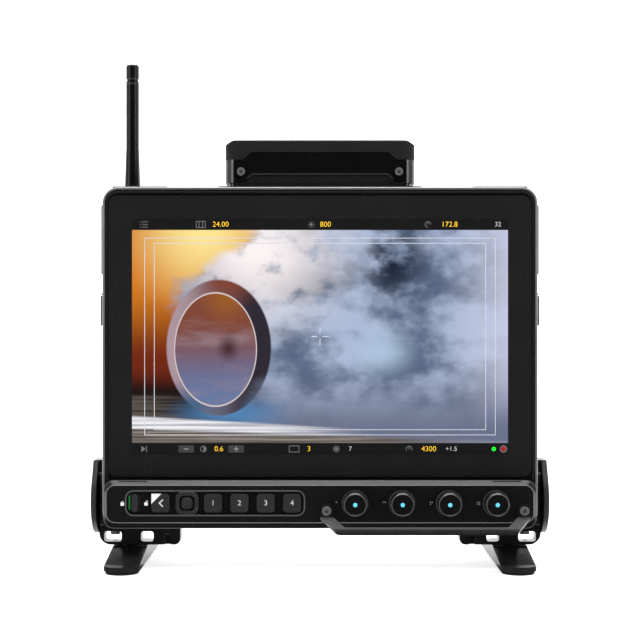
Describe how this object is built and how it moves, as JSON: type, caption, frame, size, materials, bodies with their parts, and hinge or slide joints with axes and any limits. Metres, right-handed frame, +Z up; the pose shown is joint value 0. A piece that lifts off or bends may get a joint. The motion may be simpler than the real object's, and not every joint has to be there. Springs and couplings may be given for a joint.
{
  "type": "camera field monitor",
  "caption": "Camera field monitor with touch screen, control strip of keys, joystick and guarded knobs, wireless receiver on top, folding whip antenna and swivelling table feet.",
  "frame": {"origin": "on the table, midway between the two feet and halfway along them", "axes": "+X to the viewer's right, -Y towards the viewer of the screen, +Z up"},
  "size_m": [0.2666, 0.12, 0.3],
  "materials": {
    "case_paint": "fine satin black anodised",
    "frame_metal": "dark anodised, bright edge",
    "bar_metal": "satin black anodised",
    "tray_metal": "satin black pan with bright rim",
    "screen_glass": "smooth, printed black behind",
    "display": "lit picture",
    "inner_metal": "mill finish",
    "board": "solder mask",
    "inner_plastic": "moulded",
    "key_rubber": "matte moulded",
    "ring_plastic": "frosted",
    "knob_metal": "black anodised, cut rim",
    "light": "lit clear rod",
    "guard_metal": "satin black anodised",
    "screw_steel": "blackened",
    "receiver_paint": "satin black anodised",
    "cover_paint": "fine matte black anodised",
    "receiver_panel": "smooth dark",
    "bracket_metal": "satin black anodised",
    "leg_metal": "satin black anodised",
    "rubber": "matte",
    "jack_metal": "plated",
    "socket_metal": "plated",
    "antenna_plastic": "moulded",
    "power_plastic": "moulded"
  },
  "bodies": {
    "monitor": {"rear_shell": "case_paint", "receiver_foot": "case_paint", "front_frame": "frame_metal", "control_bar": "bar_metal", "button_tray": "tray_metal", "touch_glass": "screen_glass", "lcd_panel": "display", "backlight_tray": "inner_metal", "heat_sink": "inner_metal", "main_board": "board", "control_board": "board", "receiver_board": "board", "fan_frame": "inner_plastic", "switch_bodies": "inner_plastic", "encoder_bodies": "inner_plastic", "joystick_ring": "ring_plastic", "knob_lights": "light", "knob_guard": "guard_metal", "guard_screws": "screw_steel", "receiver_screws": "screw_steel", "stand_screws": "screw_steel", "shell_screws": "screw_steel", "leg_bolts": "screw_steel", "receiver_case": "receiver_paint", "receiver_cover": "cover_paint", "receiver_front_panel": "receiver_panel", "left_bracket": "bracket_metal", "right_bracket": "bracket_metal", "left_side_plate": "bracket_metal", "right_side_plate": "bracket_metal", "side_bumpers": "rubber", "antenna_jack": "jack_metal", "rear_sockets": "socket_metal"},
    "fan": {"fan_rotor": "inner_plastic"},
    "lock": {"lock_slider": "key_rubber"},
    "joystick_rocker": {"joystick_gimbal": "inner_plastic"},
    "joystick_stick": {"joystick_stem": "inner_plastic"},
    "joystick_top": {"joystick_cap": "key_rubber"},
    "back_key": {"back_button": "key_rubber"},
    "key_1": {"function_button_1": "key_rubber"},
    "key_2": {"function_button_2": "key_rubber"},
    "key_3": {"function_button_3": "key_rubber"},
    "key_4": {"function_button_4": "key_rubber"},
    "antenna_base": {"antenna_elbow": "antenna_plastic"},
    "antenna": {"antenna_whip": "antenna_plastic"},
    "left_foot": {"left_leg": "leg_metal", "left_foot_pad": "rubber"},
    "right_foot": {"right_leg": "leg_metal", "right_foot_pad": "rubber"},
    "power": {"power_button": "power_plastic"},
    "rotor_a": {"encoder_rotor_a": "inner_plastic"},
    "knob_a": {"knob_a": "knob_metal"},
    "rotor_b": {"encoder_rotor_b": "inner_plastic"},
    "knob_b": {"knob_b": "knob_metal"},
    "rotor_c": {"encoder_rotor_c": "inner_plastic"},
    "knob_c": {"knob_c": "knob_metal"},
    "rotor_d": {"encoder_rotor_d": "inner_plastic"},
    "knob_d": {"knob_d": "knob_metal"}
  },
  "joints": [
    {"name": "fan_spin", "type": "hinge", "parent": "monitor", "child": "fan", "pos_m": [0.073, 0.01, 0.165], "axis": [0, 1, 0], "continuous": true},
    {"name": "lock_slide", "type": "slide", "parent": "monitor", "child": "lock", "axis": [1, 0, 0], "range_m": [-0.0014, 0.0014]},
    {"name": "joystick_tilt", "type": "hinge", "parent": "monitor", "child": "joystick_rocker", "pos_m": [-0.0762, -0.0315, 0.0379], "axis": [1, 0, 0], "range_deg": [-7, 7], "stiffness_Nm_per_rad": 0.04},
    {"name": "joystick_sway", "type": "hinge", "parent": "joystick_rocker", "child": "joystick_stick", "pos_m": [-0.0762, -0.0315, 0.0379], "axis": [0, 0, 1], "range_deg": [-7, 7], "stiffness_Nm_per_rad": 0.04},
    {"name": "joystick_press", "type": "slide", "parent": "joystick_stick", "child": "joystick_top", "axis": [0, 1, 0], "range_m": [0, 0.0004], "stiffness_N_per_m": 2000, "springref_m": -0.0005},
    {"name": "back_press", "type": "slide", "parent": "monitor", "child": "back_key", "axis": [0, 1, 0], "range_m": [0, 0.0005], "stiffness_N_per_m": 2000, "springref_m": -0.0005},
    {"name": "function_1_press", "type": "slide", "parent": "monitor", "child": "key_1", "axis": [0, 1, 0], "range_m": [0, 0.0005], "stiffness_N_per_m": 2000, "springref_m": -0.0005},
    {"name": "function_2_press", "type": "slide", "parent": "monitor", "child": "key_2", "axis": [0, 1, 0], "range_m": [0, 0.0005], "stiffness_N_per_m": 2000, "springref_m": -0.0005},
    {"name": "function_3_press", "type": "slide", "parent": "monitor", "child": "key_3", "axis": [0, 1, 0], "range_m": [0, 0.0005], "stiffness_N_per_m": 2000, "springref_m": -0.0005},
    {"name": "function_4_press", "type": "slide", "parent": "monitor", "child": "key_4", "axis": [0, 1, 0], "range_m": [0, 0.0005], "stiffness_N_per_m": 2000, "springref_m": -0.0005},
    {"name": "knob_a_turn", "type": "hinge", "parent": "monitor", "child": "rotor_a", "pos_m": [0.02, -0.034, 0.0379], "axis": [0, 1, 0], "continuous": true},
    {"name": "knob_a_press", "type": "slide", "parent": "rotor_a", "child": "knob_a", "axis": [0, 1, 0], "range_m": [0, 0.0006], "stiffness_N_per_m": 2000, "springref_m": -0.0005},
    {"name": "knob_b_turn", "type": "hinge", "parent": "monitor", "child": "rotor_b", "pos_m": [0.04695, -0.034, 0.0379], "axis": [0, 1, 0], "continuous": true},
    {"name": "knob_b_press", "type": "slide", "parent": "rotor_b", "child": "knob_b", "axis": [0, 1, 0], "range_m": [0, 0.0006], "stiffness_N_per_m": 2000, "springref_m": -0.0005},
    {"name": "knob_c_turn", "type": "hinge", "parent": "monitor", "child": "rotor_c", "pos_m": [0.0739, -0.034, 0.0379], "axis": [0, 1, 0], "continuous": true},
    {"name": "knob_c_press", "type": "slide", "parent": "rotor_c", "child": "knob_c", "axis": [0, 1, 0], "range_m": [0, 0.0006], "stiffness_N_per_m": 2000, "springref_m": -0.0005},
    {"name": "knob_d_turn", "type": "hinge", "parent": "monitor", "child": "rotor_d", "pos_m": [0.10085, -0.034, 0.0379], "axis": [0, 1, 0], "continuous": true},
    {"name": "knob_d_press", "type": "slide", "parent": "rotor_d", "child": "knob_d", "axis": [0, 1, 0], "range_m": [0, 0.0006], "stiffness_N_per_m": 2000, "springref_m": -0.0005},
    {"name": "antenna_swivel", "type": "hinge", "parent": "monitor", "child": "antenna_base", "pos_m": [-0.1154, 0.022, 0.203], "axis": [0, 1, 0], "range_deg": [-90, 90]},
    {"name": "antenna_fold", "type": "hinge", "parent": "antenna_base", "child": "antenna", "pos_m": [-0.1154, 0.03, 0.203], "axis": [-1, 0, 0], "range_deg": [0, 90]},
    {"name": "left_foot_swivel", "type": "hinge", "parent": "monitor", "child": "left_foot", "pos_m": [-0.1118, -0.0055, 0.006], "axis": [0, 0, 1], "range_deg": [0, 90]},
    {"name": "right_foot_swivel", "type": "hinge", "parent": "monitor", "child": "right_foot", "pos_m": [0.1118, -0.0055, 0.006], "axis": [0, 0, -1], "range_deg": [0, 90]},
    {"name": "power_press", "type": "slide", "parent": "monitor", "child": "power", "axis": [0, -1, 0], "range_m": [0, 0.0008], "stiffness_N_per_m": 2000, "springref_m": -0.0005}
  ]
}
